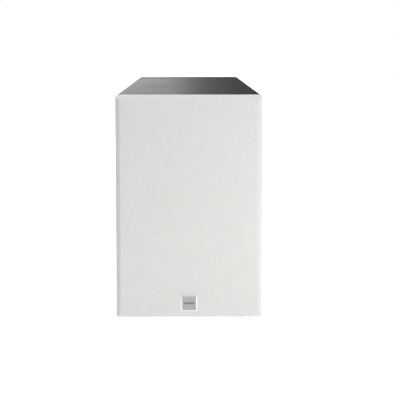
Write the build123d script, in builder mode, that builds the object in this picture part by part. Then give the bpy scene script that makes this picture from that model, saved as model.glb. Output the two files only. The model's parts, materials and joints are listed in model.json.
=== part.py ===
# A two-way bookshelf loudspeaker: a cabinet that tapers towards its back, a pull-off
# cloth grille, a woofer, a dome tweeter, a reflex port, a crossover and binding posts.
#
# Units are millimetres. +Z is up and the grille faces -Y. The origin lies on the ground
# under the middle of the outer box.
from build123d import *
import os
from math import asin, atan, atan2, cos, degrees, radians, sin

# ---------------------------------------------------------------- driving dimensions
grille_width = 185.0
grille_height = 284.0
grille_depth = 14.0
grille_gap = 0.5
grille_corner = 3.2
grille_bevel = 5.4
grille_bevel_drop = 3.6
cloth = 0.6
badge_size = 20.2
badge_chamfer = 1.1
badge_rise = 1.2
badge_above_edge = 18.9

cabinet_front_width = 185.0
cabinet_back_width = 129.0
cabinet_height = 281.5
cabinet_depth = 189.3
cabinet_edge = 2.0
back_corner = 4.0
panel = 12.0
baffle = 18.0
foot_height = 3.0

woofer_z = 94.0
tweeter_z = 218.0
port_z = 220.0
terminal_z = 66.0
insert_spacing = 60.0
insert_middle_z = 147.0

# ---------------------------------------------------------------- places worked out from them
total_depth = badge_rise + grille_depth + grille_gap + cabinet_depth
cabinet_front_y = total_depth / 2 - cabinet_depth
cabinet_back_y = total_depth / 2
grille_back_y = cabinet_front_y - grille_gap
floor_z = foot_height
roof_z = foot_height + cabinet_height
inner_floor_z = floor_z + panel
inner_roof_z = roof_z - panel
inner_height = inner_roof_z - inner_floor_z
grille_middle_z = (floor_z + roof_z) / 2
grille_bottom_z = grille_middle_z - grille_height / 2
side_slope = (cabinet_front_width - cabinet_back_width) / 2 / cabinet_depth
panel_across = panel / cos(atan(side_slope))

baffle_face = Plane(origin=(0, cabinet_front_y, 0), x_dir=(1, 0, 0), z_dir=(0, -1, 0))
grille_back = Plane(origin=(0, grille_back_y, 0), x_dir=(1, 0, 0), z_dir=(0, -1, 0))
back_face = Plane(origin=(0, cabinet_back_y, 0), x_dir=(-1, 0, 0), z_dir=(0, 1, 0))
grille_rear = Plane(origin=(0, grille_back_y, 0), x_dir=(-1, 0, 0), z_dir=(0, 1, 0))


def half_width(y):
    """Half the cabinet's outer width at depth y."""
    return cabinet_front_width / 2 - side_slope * (y - cabinet_front_y)


def plan_outline(front, back, inset=0.0):
    """Corners of the cabinet's plan between two depths, inset along X from its sides."""
    near = half_width(front) - inset
    far = half_width(back) - inset
    return [(-near, front), (near, front), (far, back), (-far, back)]


def plan_sketch(front, back, inset=0.0):
    """Fills the cabinet's plan between two depths in the sketch that is open."""
    with BuildLine() as outline:
        Polyline(*plan_outline(front, back, inset), close=True)
    make_face(outline.edges())


def section_plane(centre_z, angle=0.0, y=cabinet_front_y):
    """A plane through a driver's axis: local x is the radius, local y points forwards."""
    across = Vector(cos(radians(angle)), 0, sin(radians(angle)))
    return Plane(origin=(0, y, centre_z), x_dir=across, z_dir=across.cross(Vector(0, -1, 0)))


def ring_section(inner, outer, low, high):
    """A rectangle from radius inner to outer and from height low to high."""
    with Locations(((inner + outer) / 2, (low + high) / 2)):
        Rectangle(outer - inner, high - low)


def outline_section(*points):
    """Fills a closed outline of straight lines."""
    with BuildLine() as outline:
        Polyline(*points, close=True)
    make_face(outline.edges())


def bead_section(radius, height, roll, thickness, up=1):
    """Half a ring: one roll of a surround or spider, above its base line, or below it if up is -1."""
    with BuildLine() as outline:
        outer = CenterArc((radius, height), roll + thickness / 2, 0, 180 * up)
        inner = CenterArc((radius, height), roll - thickness / 2, 0, 180 * up)
        Line(outer @ 0, inner @ 0)
        Line(outer @ 1, inner @ 1)
    make_face(outline.edges())


def dome_section(radius, height, rise, thickness):
    """Half the section of a thin spherical cap whose edge is at that radius and height."""
    sphere = (radius**2 + rise**2) / (2 * rise)
    centre = height + rise - sphere
    edge_angle = degrees(atan2(height - centre, radius))
    with BuildLine() as outline:
        outer = CenterArc((0, centre), sphere, edge_angle, 90 - edge_angle)
        inner = CenterArc((0, centre), sphere - thickness, edge_angle, 90 - edge_angle)
        Line(outer @ 0, inner @ 0)
        Line(outer @ 1, inner @ 1)
    make_face(outline.edges())


# ================================================================ cabinet
# The four outer panels are one tapered sleeve, cut apart along its mitred corners.
with BuildPart() as sleeve:
    with BuildSketch(Plane.XY.offset(floor_z)):
        plan_sketch(cabinet_front_y, cabinet_back_y)
    extrude(amount=cabinet_height)
    fillet(sleeve.faces().sort_by(Axis.Y)[-1].edges().filter_by(Axis.Z), radius=back_corner)
    front_edges = sleeve.faces().sort_by(Axis.Y)[0].edges()
    level_faces = sleeve.faces().filter_by(Axis.Z)
    fillet([e for e in level_faces.edges() if e not in front_edges], radius=cabinet_edge)
    with BuildSketch(Plane.XY.offset(inner_floor_z)):
        plan_sketch(cabinet_front_y - 1, cabinet_back_y + 1, inset=panel_across)
    extrude(amount=inner_height, mode=Mode.SUBTRACT)


def mitre_plane(side, up):
    """The cut between a side panel and the top (up 1) or bottom (up -1), facing the latter."""
    outer_z = roof_z if up > 0 else floor_z
    corner = Vector(side * half_width(cabinet_front_y), cabinet_front_y, outer_z)
    along = Vector(side * half_width(cabinet_back_y), cabinet_back_y, outer_z) - corner
    inwards = Vector(-side * panel_across, 0, -up * panel)
    normal = along.cross(inwards)
    if normal.Z * up < 0:
        normal = -normal
    return Plane(origin=corner, z_dir=normal)


with BuildPart() as cabinet_top:
    add(sleeve.part)
    for side in (-1, 1):
        split(bisect_by=mitre_plane(side, 1), keep=Keep.TOP)

with BuildPart() as cabinet_bottom:
    add(sleeve.part)
    for side in (-1, 1):
        split(bisect_by=mitre_plane(side, -1), keep=Keep.TOP)

with BuildPart() as cabinet_side_left:
    add(sleeve.part)
    split(bisect_by=Plane.YZ, keep=Keep.BOTTOM)
    for up in (-1, 1):
        split(bisect_by=mitre_plane(-1, up), keep=Keep.BOTTOM)

with BuildPart() as cabinet_side_right:
    add(sleeve.part)
    split(bisect_by=Plane.YZ, keep=Keep.TOP)
    for up in (-1, 1):
        split(bisect_by=mitre_plane(1, up), keep=Keep.BOTTOM)

# Woofer and tweeter seats, grille sockets and screw pilots in the baffle.
woofer_flange = 71.0
woofer_flange_thickness = 4.0
woofer_gasket_thickness = 1.0
woofer_hole = 62.0
woofer_screw_circle = 66.5
tweeter_flange = 48.0
tweeter_flange_thickness = 4.0
tweeter_gasket_thickness = 0.8
tweeter_hole = 35.0
tweeter_screw_circle = 43.3
screw_shank = 1.75
screw_head = 3.6
screw_length = 16.0
seat_clearance = 0.3
socket_radius = 4.5
socket_rim = 6.0
socket_rim_thickness = 1.0
socket_depth = 12.0
peg_places = [(side * 70.0, z) for side in (-1, 1) for z in (22.5, 265.0)]

with BuildPart() as front_baffle:
    with BuildSketch(Plane.XY.offset(inner_floor_z)):
        plan_sketch(cabinet_front_y, cabinet_front_y + baffle, inset=panel_across)
    extrude(amount=inner_height)
    with Locations(baffle_face):
        with Locations((0, woofer_z)):
            CounterBoreHole(
                radius=woofer_hole,
                counter_bore_radius=woofer_flange + seat_clearance,
                counter_bore_depth=woofer_flange_thickness + woofer_gasket_thickness,
                depth=baffle,
            )
            with PolarLocations(woofer_screw_circle, 4, start_angle=45):
                Hole(radius=screw_shank, depth=baffle)
        with Locations((0, tweeter_z)):
            CounterBoreHole(
                radius=tweeter_hole,
                counter_bore_radius=tweeter_flange + seat_clearance,
                counter_bore_depth=tweeter_flange_thickness + tweeter_gasket_thickness,
                depth=baffle,
            )
            with PolarLocations(tweeter_screw_circle, 4, start_angle=45):
                Hole(radius=screw_shank, depth=baffle)
        with Locations(*peg_places):
            CounterBoreHole(
                radius=socket_radius,
                counter_bore_radius=socket_rim,
                counter_bore_depth=socket_rim_thickness,
                depth=socket_depth,
            )

# Cup and port seats, insert holes and screw pilots in the back.
terminal_flange = (88.0, 78.0)
terminal_body = (70.0, 60.0)
terminal_wall = 2.0
terminal_flange_thickness = 3.0
terminal_recess = 28.0
terminal_floor = 2.5
terminal_screws_apart = (78.0, 68.0)
terminal_screw_shank = 1.5
terminal_screw_head = 3.0
terminal_screw_length = 11.0
port_bore = 19.0
port_wall = 2.0
port_length = 99.0
port_flange = 34.0
port_flange_thickness = 3.0
port_mouth_round = 12.0
port_tail_round = 6.0
port_hole = 27.5
insert_radius = 4.5
insert_length = 10.0
insert_bore = 2.5
insert_bore_depth = 9.0

with BuildPart() as cabinet_back:
    with BuildSketch(Plane.XY.offset(inner_floor_z)):
        plan_sketch(cabinet_back_y - panel, cabinet_back_y, inset=panel_across)
    extrude(amount=inner_height)
    with BuildSketch(back_face):
        with Locations((0, terminal_z)):
            RectangleRounded(
                terminal_flange[0] + 2 * seat_clearance,
                terminal_flange[1] + 2 * seat_clearance,
                5,
            )
    extrude(amount=-terminal_flange_thickness, mode=Mode.SUBTRACT)
    with BuildSketch(back_face):
        with Locations((0, terminal_z)):
            RectangleRounded(
                terminal_body[0] + 2 * seat_clearance, terminal_body[1] + 2 * seat_clearance, 4
            )
    extrude(amount=-panel, mode=Mode.SUBTRACT)
    with Locations(back_face):
        with Locations((0, terminal_z)):
            with GridLocations(*terminal_screws_apart, 2, 2):
                Hole(radius=terminal_screw_shank, depth=terminal_screw_length)
        with Locations((0, port_z)):
            CounterBoreHole(
                radius=port_hole,
                counter_bore_radius=port_flange + seat_clearance,
                counter_bore_depth=port_flange_thickness,
                depth=panel,
            )
        with Locations((0, insert_middle_z)):
            with GridLocations(1, insert_spacing, 1, 2):
                Hole(radius=insert_radius, depth=insert_length)

# Threaded brass inserts for a wall bracket, with blind holes that keep the box airtight.
with BuildPart() as rear_inserts:
    with BuildSketch(back_face):
        with Locations((0, insert_middle_z)):
            with GridLocations(1, insert_spacing, 1, 2):
                Circle(insert_radius)
    extrude(amount=-insert_length)
    with Locations(back_face):
        with Locations((0, insert_middle_z)):
            with GridLocations(1, insert_spacing, 1, 2):
                Hole(radius=insert_bore, depth=insert_bore_depth)

# Cleats behind the baffle: two upright, and two across between them.
cleat = 12.0
baffle_back_y = cabinet_front_y + baffle
with BuildPart() as baffle_cleats:
    with BuildSketch(Plane.XY.offset(inner_floor_z)):
        plan_sketch(baffle_back_y, baffle_back_y + cleat, inset=panel_across)
        plan_sketch_inset = panel_across + cleat
        with Locations((0, baffle_back_y + cleat / 2)):
            Rectangle(
                2 * (half_width(baffle_back_y) - plan_sketch_inset), cleat, mode=Mode.SUBTRACT
            )
    extrude(amount=inner_height)
    for cleat_z in (inner_floor_z, inner_roof_z - cleat):
        with BuildSketch(Plane.XY.offset(cleat_z)):
            with Locations((0, baffle_back_y + cleat / 2)):
                Rectangle(2 * (half_width(baffle_back_y) - plan_sketch_inset) - 1, cleat)
        extrude(amount=cleat)

# A window brace that ties the two sides together between the drivers.
brace_z = 161.0
brace_front_y = baffle_back_y + cleat + 2
brace_back_y = cabinet_back_y - panel - 12
brace_rim = 16.0
with BuildPart() as cabinet_brace:
    with BuildSketch(Plane.XY.offset(brace_z)):
        plan_sketch(brace_front_y, brace_back_y, inset=panel_across)
    extrude(amount=panel)
    with BuildSketch(Plane.XY.offset(brace_z)) as brace_window:
        plan_sketch(brace_front_y + brace_rim, brace_back_y - brace_rim, panel_across + brace_rim)
        fillet(brace_window.vertices(), radius=8)
    extrude(amount=panel, mode=Mode.SUBTRACT)

foot_radius = 7.0
foot_places = [(side * 72.0, cabinet_front_y + 22) for side in (-1, 1)]
foot_places += [(side * 50.0, cabinet_back_y - 18) for side in (-1, 1)]
with BuildPart() as rubber_feet:
    with BuildSketch(Plane.XY):
        with Locations(*foot_places):
            Circle(foot_radius)
    extrude(amount=foot_height)
    chamfer(rubber_feet.faces().filter_by(Axis.Z).group_by(Axis.Z)[0].edges(), length=0.6)

# Acoustic felt on the side walls, above and below the brace, and under the top.
felt = 10.0
felt_front_y = baffle_back_y + cleat + 2
felt_back_y = cabinet_back_y - panel - 3
with BuildPart() as damping_pads:
    for felt_z, felt_top in ((17.0, 159.0), (175.0, 259.0)):
        for side in (-1, 1):
            near = half_width(felt_front_y) - panel_across
            far = half_width(felt_back_y) - panel_across
            with BuildSketch(Plane.XY.offset(felt_z)):
                outline_section(
                    (side * near, felt_front_y),
                    (side * (near - felt), felt_front_y),
                    (side * (far - felt), felt_back_y),
                    (side * far, felt_back_y),
                )
            extrude(amount=felt_top - felt_z)
    with BuildSketch(Plane.XY.offset(inner_roof_z - felt)):
        plan_sketch(felt_front_y, felt_back_y, inset=panel_across + 1)
    extrude(amount=felt)

# ================================================================ grille
# The blank that the cloth is stretched over. The frame is cut from it.
frame_bar = 27.0
frame_side_bar = 18.0
frame_cross_z = (156.5, 171.0)
window_corner = 4.5
window_ease = 2.5
frame_thickness = grille_depth - cloth
cloth_fold = 8.0
grille_middle = (0, grille_middle_z)
bevel_top_corner = 0.6
frame_width = grille_width - 2 * cloth
frame_height = grille_height - 2 * cloth
frame_bevel = grille_bevel - 0.7 * cloth
frame_flank = frame_thickness - grille_bevel_drop + 0.47 * cloth
with BuildPart() as grille_blank:
    with BuildSketch(grille_back):
        with Locations(grille_middle):
            RectangleRounded(frame_width, frame_height, grille_corner - cloth)
    extrude(amount=frame_flank)
    with BuildSketch(grille_back.offset(frame_flank)):
        with Locations(grille_middle):
            RectangleRounded(frame_width, frame_height, grille_corner - cloth)
    with BuildSketch(grille_back.offset(frame_thickness)):
        with Locations(grille_middle):
            RectangleRounded(
                frame_width - 2 * frame_bevel, frame_height - 2 * frame_bevel, bevel_top_corner
            )
    loft()

peg_shank = 2.5
peg_radius = 2.95
peg_length = 10.0
peg_in_frame = 7.0
badge_pin = 1.0
badge_pin_length = 5.0
badge_pins_apart = 10.0
badge_groove = (13.0, 2.4)
badge_groove_depth = 0.4
badge_z = grille_bottom_z + badge_above_edge

with BuildPart() as grille_frame:
    add(grille_blank.part)
    with BuildSketch(grille_back):
        with Locations(grille_middle):
            Rectangle(grille_width, grille_height)
            Rectangle(
                grille_width - 2 * (cloth + cloth_fold),
                grille_height - 2 * (cloth + cloth_fold),
                mode=Mode.SUBTRACT,
            )
    extrude(amount=cloth, mode=Mode.SUBTRACT)
    window_width = grille_width - 2 * frame_side_bar
    grille_top_z = grille_bottom_z + grille_height
    windows = (
        (grille_bottom_z + frame_bar, frame_cross_z[0]),
        (frame_cross_z[1], grille_top_z - frame_bar),
    )
    for window_low, window_high in windows:
        with BuildSketch(grille_back):
            with Locations((0, (window_low + window_high) / 2)):
                RectangleRounded(window_width, window_high - window_low, window_corner)
        extrude(amount=frame_thickness, mode=Mode.SUBTRACT)
        with BuildSketch(grille_back):
            with Locations((0, (window_low + window_high) / 2)):
                RectangleRounded(
                    window_width + 2 * window_ease,
                    window_high - window_low + 2 * window_ease,
                    window_corner + window_ease,
                )
        extrude(amount=window_ease, taper=45, mode=Mode.SUBTRACT)
    with Locations(grille_rear):
        with Locations(*peg_places):
            Hole(radius=peg_shank, depth=peg_in_frame)
    with BuildSketch(grille_back.offset(frame_thickness)):
        with Locations((0, badge_z)):
            with GridLocations(badge_pins_apart, 1, 2, 1):
                Circle(badge_pin)
    extrude(amount=-badge_pin_length, mode=Mode.SUBTRACT)

# Woven cloth, wrapped over the frame's front and sides and folded onto its back.
with BuildPart() as grille_cloth:
    with BuildSketch(grille_back):
        with Locations(grille_middle):
            RectangleRounded(grille_width, grille_height, grille_corner)
    extrude(amount=grille_depth - grille_bevel_drop)
    with BuildSketch(grille_back.offset(grille_depth - grille_bevel_drop)):
        with Locations(grille_middle):
            RectangleRounded(grille_width, grille_height, grille_corner)
    with BuildSketch(grille_back.offset(grille_depth)):
        with Locations(grille_middle):
            RectangleRounded(
                grille_width - 2 * grille_bevel, grille_height - 2 * grille_bevel, bevel_top_corner
            )
    loft()
    add(grille_blank.part, mode=Mode.SUBTRACT)
    with BuildSketch(grille_back):
        with Locations(grille_middle):
            RectangleRounded(frame_width, frame_height, grille_corner - cloth)
            Rectangle(
                grille_width - 2 * (cloth + cloth_fold),
                grille_height - 2 * (cloth + cloth_fold),
                mode=Mode.SUBTRACT,
            )
    extrude(amount=cloth)
    with BuildSketch(grille_back.offset(grille_depth)):
        with Locations((0, badge_z)):
            with GridLocations(badge_pins_apart, 1, 2, 1):
                Circle(badge_pin)
    extrude(amount=-2 * cloth, mode=Mode.SUBTRACT)

with BuildPart() as badge:
    with BuildSketch(grille_back.offset(grille_depth)):
        with Locations((0, badge_z)):
            RectangleRounded(badge_size, badge_size, 1.6)
    extrude(amount=badge_rise)
    chamfer(badge.faces().sort_by(Axis.Y)[0].edges(), length=badge_chamfer)
    with BuildSketch(grille_back.offset(grille_depth + badge_rise)):
        with Locations((0, badge_z)):
            SlotOverall(*badge_groove)
    extrude(amount=-badge_groove_depth, mode=Mode.SUBTRACT)
    with BuildSketch(grille_back.offset(grille_depth)):
        with Locations((0, badge_z)):
            with GridLocations(badge_pins_apart, 1, 2, 1):
                Circle(badge_pin)
    extrude(amount=-badge_pin_length)

# Push pins: a shank in the frame, a waisted body, and a rounded nose for the socket.
with BuildPart() as grille_pegs:
    for peg_x, peg_z in peg_places:
        peg_section = Plane(
            origin=(peg_x, grille_back_y, peg_z), x_dir=(1, 0, 0), z_dir=(0, 0, 1)
        )
        with BuildSketch(peg_section):
            outline_section(
                (0, -peg_in_frame),
                (peg_shank, -peg_in_frame),
                (peg_shank, 0),
                (peg_radius, 0),
                (peg_radius, 3),
                (peg_radius - 0.7, 4.5),
                (peg_radius - 0.7, 6),
                (peg_radius, 7.5),
                (peg_radius - 0.3, 9),
                (peg_radius - 1.4, peg_length),
                (0, peg_length),
            )
        revolve(axis=Axis(peg_section.origin, (0, 1, 0)))

with BuildPart() as grille_sockets:
    with BuildSketch(baffle_face):
        with Locations(*peg_places):
            Circle(socket_rim)
    extrude(amount=-socket_rim_thickness)
    with BuildSketch(baffle_face):
        with Locations(*peg_places):
            Circle(socket_radius)
    extrude(amount=-socket_depth)
    with Locations(baffle_face):
        with Locations(*peg_places):
            Hole(radius=3.0, depth=socket_depth - 1)

# ================================================================ woofer
# Heights are measured forwards from the baffle's face, radii from the driver's axis.
woofer_section = section_plane(woofer_z)
woofer_axis = Axis((0, cabinet_front_y, woofer_z), (0, -1, 0))
basket_inner = 57.0
top_plate_front = -42.5
top_plate_back = -47.5
magnet_back = -63.5
yoke_back = -69.5
coil_inner = 12.6
former_outer = 12.9
winding_outer = 13.6
pole_radius = 12.1
shelf_height = -31.0
shelf_inner = 36.5
window_arc = 38.0

with BuildPart() as woofer_basket:
    with BuildSketch(woofer_section):
        outline_section(
            (basket_inner, 0),
            (woofer_flange - 0.6, 0),
            (woofer_flange, -0.6),
            (woofer_flange, -woofer_flange_thickness),
            (60.5, -woofer_flange_thickness),
            (45, -30),
            (45, top_plate_front),
            (20, top_plate_front),
            (20, top_plate_front + 2.5),
            (42.5, top_plate_front + 2.5),
            (42.5, shelf_height - 2),
            (shelf_inner, shelf_height - 2),
            (shelf_inner, shelf_height),
            (42.5, shelf_height),
            (basket_inner, -5),
        )
    revolve(axis=woofer_axis)
    for window in range(6):
        with BuildSketch(section_plane(woofer_z, window * 60 - window_arc / 2)):
            ring_section(43.5, 66, -27, -7)
            ring_section(41, 47, -39, -34)
        revolve(axis=woofer_axis, revolution_arc=window_arc, mode=Mode.SUBTRACT)
    with Locations(baffle_face):
        with Locations((0, woofer_z)):
            with PolarLocations(woofer_screw_circle, 4, start_angle=45):
                CounterSinkHole(
                    radius=screw_shank + 0.2,
                    counter_sink_radius=screw_head + 0.1,
                    depth=baffle,
                    counter_sink_angle=90,
                )

surround_thickness = 0.6
surround_roll = 5.0
surround_radius = 51.0
roll_inner = surround_radius - surround_roll
roll_outer = surround_radius + surround_roll
with BuildPart() as woofer_surround:
    with BuildSketch(woofer_section):
        bead_section(surround_radius, 0, surround_roll, surround_thickness)
        ring_section(42.2, roll_inner + surround_thickness / 2, 0, surround_thickness)
        ring_section(roll_outer - surround_thickness / 2, 61.5, 0, surround_thickness)
    revolve(axis=woofer_axis)

with BuildPart() as woofer_clamp_ring:
    with BuildSketch(woofer_section):
        outline_section(
            (basket_inner, surround_thickness),
            (61.8, surround_thickness),
            (61.8, 1.4),
            (61.2, 2.0),
            (57.6, 2.0),
            (basket_inner, 1.4),
        )
    revolve(axis=woofer_axis)

# A curved paper cone: steep at its neck, shallower towards its rim.
cone_thickness = 0.8
cone_neck = (former_outer, -24.0)
cone_middle = (27.5, -10.2)
cone_rim = (42.0, 0.0)
cone_curve = ThreePointArc(cone_neck, cone_middle, cone_rim, mode=Mode.PRIVATE)
with BuildPart() as woofer_cone:
    with BuildSketch(woofer_section):
        with BuildLine():
            front_curve = ThreePointArc(cone_neck, cone_middle, cone_rim)
            back_curve = ThreePointArc(
                (cone_neck[0], cone_neck[1] - 1.3 * cone_thickness),
                (cone_middle[0], cone_middle[1] - 1.2 * cone_thickness),
                (cone_rim[0], cone_rim[1] - cone_thickness),
            )
            Line(front_curve @ 0, back_curve @ 0)
            Polyline(
                front_curve @ 1,
                (roll_inner + 0.3, cone_rim[1]),
                (roll_inner + 0.3, cone_rim[1] - cone_thickness),
                back_curve @ 1,
            )
        make_face()
    revolve(axis=woofer_axis)

dust_cap_edge = cone_curve @ 0.2
with BuildPart() as woofer_dust_cap:
    with BuildSketch(woofer_section):
        dome_section(dust_cap_edge.X, dust_cap_edge.Y + 0.5, 6.5, 0.6)
    revolve(axis=woofer_axis)

with BuildPart() as woofer_coil_former:
    with BuildSketch(woofer_section):
        ring_section(coil_inner, former_outer, -52, -22)
    revolve(axis=woofer_axis)

with BuildPart() as woofer_winding:
    with BuildSketch(woofer_section):
        ring_section(former_outer, winding_outer, -50, -40)
    revolve(axis=woofer_axis)

spider_thickness = 0.5
spider_roll = 2.2
spider_base = shelf_height + spider_thickness / 2
spider_first = shelf_inner - 10 * spider_roll
with BuildPart() as woofer_spider:
    with BuildSketch(woofer_section):
        lip_low, lip_high = shelf_height, shelf_height + spider_thickness
        ring_section(former_outer, spider_first + spider_thickness / 2, lip_low, lip_high)
        for roll in range(5):
            bead_section(
                spider_first + (2 * roll + 1) * spider_roll,
                spider_base,
                spider_roll,
                spider_thickness,
                up=1 if roll % 2 == 0 else -1,
            )
        ring_section(shelf_inner - spider_thickness / 2, 41.5, lip_low, lip_high)
    revolve(axis=woofer_axis)

with BuildPart() as woofer_top_plate:
    with BuildSketch(woofer_section):
        ring_section(14.2, 40, top_plate_back, top_plate_front)
    revolve(axis=woofer_axis)

with BuildPart() as woofer_magnet:
    with BuildSketch(woofer_section):
        ring_section(22, 42.5, magnet_back, top_plate_back)
    revolve(axis=woofer_axis)
    chamfer(woofer_magnet.edges().filter_by(GeomType.CIRCLE).group_by(SortBy.RADIUS)[-1], length=0.8)

with BuildPart() as woofer_pole_yoke:
    with BuildSketch(woofer_section):
        outline_section(
            (4, yoke_back),
            (39, yoke_back),
            (40, yoke_back + 1),
            (40, magnet_back),
            (pole_radius, magnet_back),
            (pole_radius, top_plate_front + 0.5),
            (4, top_plate_front + 0.5),
        )
    revolve(axis=woofer_axis)

# The woofer's terminal board is riveted under its basket, with two tabs that point down.
board_rise = 2.6
tab_width = 4.8
tab_thickness = 0.8
tab_length = 6.0
woofer_tab_x = 5.0
woofer_tab_y = cabinet_front_y + 37
woofer_board_z = woofer_z - 45 - board_rise
def tube_along(points, bend, radius):
    """A round wire along straight runs joined by bends."""
    with BuildLine() as path:
        FilletPolyline(*points, radius=bend)
    with BuildSketch(Plane(origin=path.line @ 0, z_dir=path.line % 0)) as section:
        Circle(radius)
    sweep(section.sketch, path=path.line)


# Braided leads from the board, through a window in the basket, to the back of the cone.
with BuildPart() as woofer_tinsel_leads:
    for side in (-1, 1):
        tinsel_points = [
            (side * 7, cabinet_front_y + 33.2, woofer_board_z + 1.3),
            (side * 12, cabinet_front_y + 24, woofer_z - 48.5),
            (side * 13, cabinet_front_y + 19, woofer_z - 40),
            (side * 11, cabinet_front_y + 22, woofer_z - 30),
            (side * 9.5, cabinet_front_y + 15.8, woofer_z - 22.3),
        ]
        tube_along(tinsel_points, 2.5, 0.6)

# ================================================================ tweeter
tweeter_section = section_plane(tweeter_z)
tweeter_axis = Axis((0, cabinet_front_y, tweeter_z), (0, -1, 0))
dome_radius = 12.7
dome_edge = -4.3
tweeter_plate_front = -9.0
tweeter_plate_back = -12.0
tweeter_magnet_back = -20.0
tweeter_yoke_back = -24.0
rear_cup_back = -38.0
rear_cup_radius = 21.0
lip = 0.3

with BuildPart() as tweeter_faceplate:
    with BuildSketch(tweeter_section):
        with BuildLine():
            waveguide = ThreePointArc((37, 0), (27, -0.83), (17.6, -3.2))
            Polyline(
                waveguide @ 1,
                (17.6, -tweeter_flange_thickness),
                (21, -tweeter_flange_thickness),
                (21, tweeter_plate_front),
                (33.5, tweeter_plate_front),
                (33.5, -tweeter_flange_thickness),
                (tweeter_flange, -tweeter_flange_thickness),
                (tweeter_flange, -0.6),
                (tweeter_flange - 0.6, 0),
                waveguide @ 0,
            )
        make_face()
    revolve(axis=tweeter_axis)
    with Locations(baffle_face):
        with Locations((0, tweeter_z)):
            with PolarLocations(tweeter_screw_circle, 4, start_angle=45):
                CounterSinkHole(
                    radius=screw_shank + 0.2,
                    counter_sink_radius=screw_head + 0.1,
                    depth=baffle,
                    counter_sink_angle=90,
                )

with BuildPart() as driver_gaskets:
    with BuildSketch(woofer_section):
        ring_section(
            woofer_hole + 0.5,
            woofer_flange - 0.5,
            -woofer_flange_thickness - woofer_gasket_thickness,
            -woofer_flange_thickness,
        )
    revolve(axis=woofer_axis)
    with BuildSketch(tweeter_section):
        ring_section(
            tweeter_hole + 0.5,
            tweeter_flange - 0.5,
            -tweeter_flange_thickness - tweeter_gasket_thickness,
            -tweeter_flange_thickness,
        )
    revolve(axis=tweeter_axis)
    with Locations(baffle_face):
        with Locations((0, woofer_z)):
            with PolarLocations(woofer_screw_circle, 4, start_angle=45):
                Hole(radius=screw_shank + 0.2, depth=baffle)
        with Locations((0, tweeter_z)):
            with PolarLocations(tweeter_screw_circle, 4, start_angle=45):
                Hole(radius=screw_shank + 0.2, depth=baffle)

with BuildPart() as tweeter_dome:
    with BuildSketch(tweeter_section):
        dome_section(dome_radius, dome_edge, 5.3, 0.35)
    revolve(axis=tweeter_axis)

with BuildPart() as tweeter_surround:
    with BuildSketch(tweeter_section):
        bead_section(dome_radius + 2.0, dome_edge + lip / 2, 1.8, lip)
        ring_section(dome_radius + 3.8 - lip / 2, 20.5, dome_edge, dome_edge + lip)
    revolve(axis=tweeter_axis)

with BuildPart() as tweeter_voice_coil:
    with BuildSketch(tweeter_section):
        ring_section(12.35, 12.6, -12.5, dome_edge - lip)
        ring_section(12.6, 12.9, -12, -9.3)
    revolve(axis=tweeter_axis)

with BuildPart() as tweeter_top_plate:
    with BuildSketch(tweeter_section):
        ring_section(13.3, 30, tweeter_plate_back, tweeter_plate_front)
    revolve(axis=tweeter_axis)

with BuildPart() as tweeter_magnet:
    with BuildSketch(tweeter_section):
        ring_section(17, 32, tweeter_magnet_back, tweeter_plate_back)
    revolve(axis=tweeter_axis)
    chamfer(tweeter_magnet.edges().filter_by(GeomType.CIRCLE).group_by(SortBy.RADIUS)[-1], length=0.6)

with BuildPart() as tweeter_pole_yoke:
    with BuildSketch(tweeter_section):
        outline_section(
            (3, tweeter_yoke_back),
            (30, tweeter_yoke_back),
            (30, tweeter_magnet_back),
            (11.9, tweeter_magnet_back),
            (11.9, tweeter_plate_front + 0.3),
            (3, tweeter_plate_front + 0.3),
        )
    revolve(axis=tweeter_axis)

with BuildPart() as tweeter_rear_cup:
    with BuildSketch(tweeter_section):
        outline_section(
            (rear_cup_radius - 2, tweeter_yoke_back),
            (rear_cup_radius, tweeter_yoke_back),
            (rear_cup_radius, rear_cup_back + 2),
            (rear_cup_radius - 2, rear_cup_back),
            (0, rear_cup_back),
            (0, rear_cup_back + 2),
            (rear_cup_radius - 2, rear_cup_back + 2),
        )
    revolve(axis=tweeter_axis)

# Two tabs that point backwards, on a board glued to the yoke below the rear cup.
tweeter_tab_x = 6.0
tweeter_tab_z = tweeter_z - 25.5
tweeter_board = Plane(
    origin=(0, cabinet_front_y - tweeter_yoke_back, tweeter_tab_z),
    x_dir=(-1, 0, 0),
    z_dir=(0, 1, 0),
)
with BuildPart() as driver_terminals:
    with BuildSketch(Plane.XY.offset(woofer_board_z)):
        with Locations((0, woofer_tab_y)):
            Rectangle(18, 7)
    extrude(amount=board_rise)
    with BuildSketch(Plane.XY.offset(woofer_board_z)):
        with Locations((0, woofer_tab_y)):
            with GridLocations(2 * woofer_tab_x, 1, 2, 1):
                Rectangle(tab_width, tab_thickness)
    extrude(amount=-tab_length)
    with BuildSketch(tweeter_board):
        Rectangle(20, 6)
    extrude(amount=2)
    with BuildSketch(tweeter_board.offset(2)):
        with GridLocations(2 * tweeter_tab_x, 1, 2, 1):
            Rectangle(tab_width, tab_thickness)
    extrude(amount=tab_length)


def screw_from(origin, facing, shank, head, length, socket):
    """A countersunk screw with a plain socket, its head's face at the origin, looking outwards."""
    across = Vector(1, 0, 0)
    plane = Plane(origin=origin, x_dir=across, z_dir=across.cross(Vector(facing)))
    with BuildSketch(plane) as section:
        outline_section(
            (0, -1.4),
            (socket, -1.4),
            (socket, 0),
            (head, 0),
            (shank, shank - head),
            (shank, shank - length),
            (0, -length),
        )
    revolve(section.sketch, axis=Axis(origin, facing))


def around(centre_z, radius):
    """Four places at 45 degrees around a driver's axis, on the baffle's face."""
    reach = radius * cos(radians(45))
    return [(x, cabinet_front_y, centre_z + z) for x in (-reach, reach) for z in (-reach, reach)]


with BuildPart() as driver_screws:
    driver_screw_places = around(woofer_z, woofer_screw_circle)
    driver_screw_places += around(tweeter_z, tweeter_screw_circle)
    for place in driver_screw_places:
        screw_from(place, (0, -1, 0), screw_shank, screw_head, screw_length, 1.5)

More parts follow.
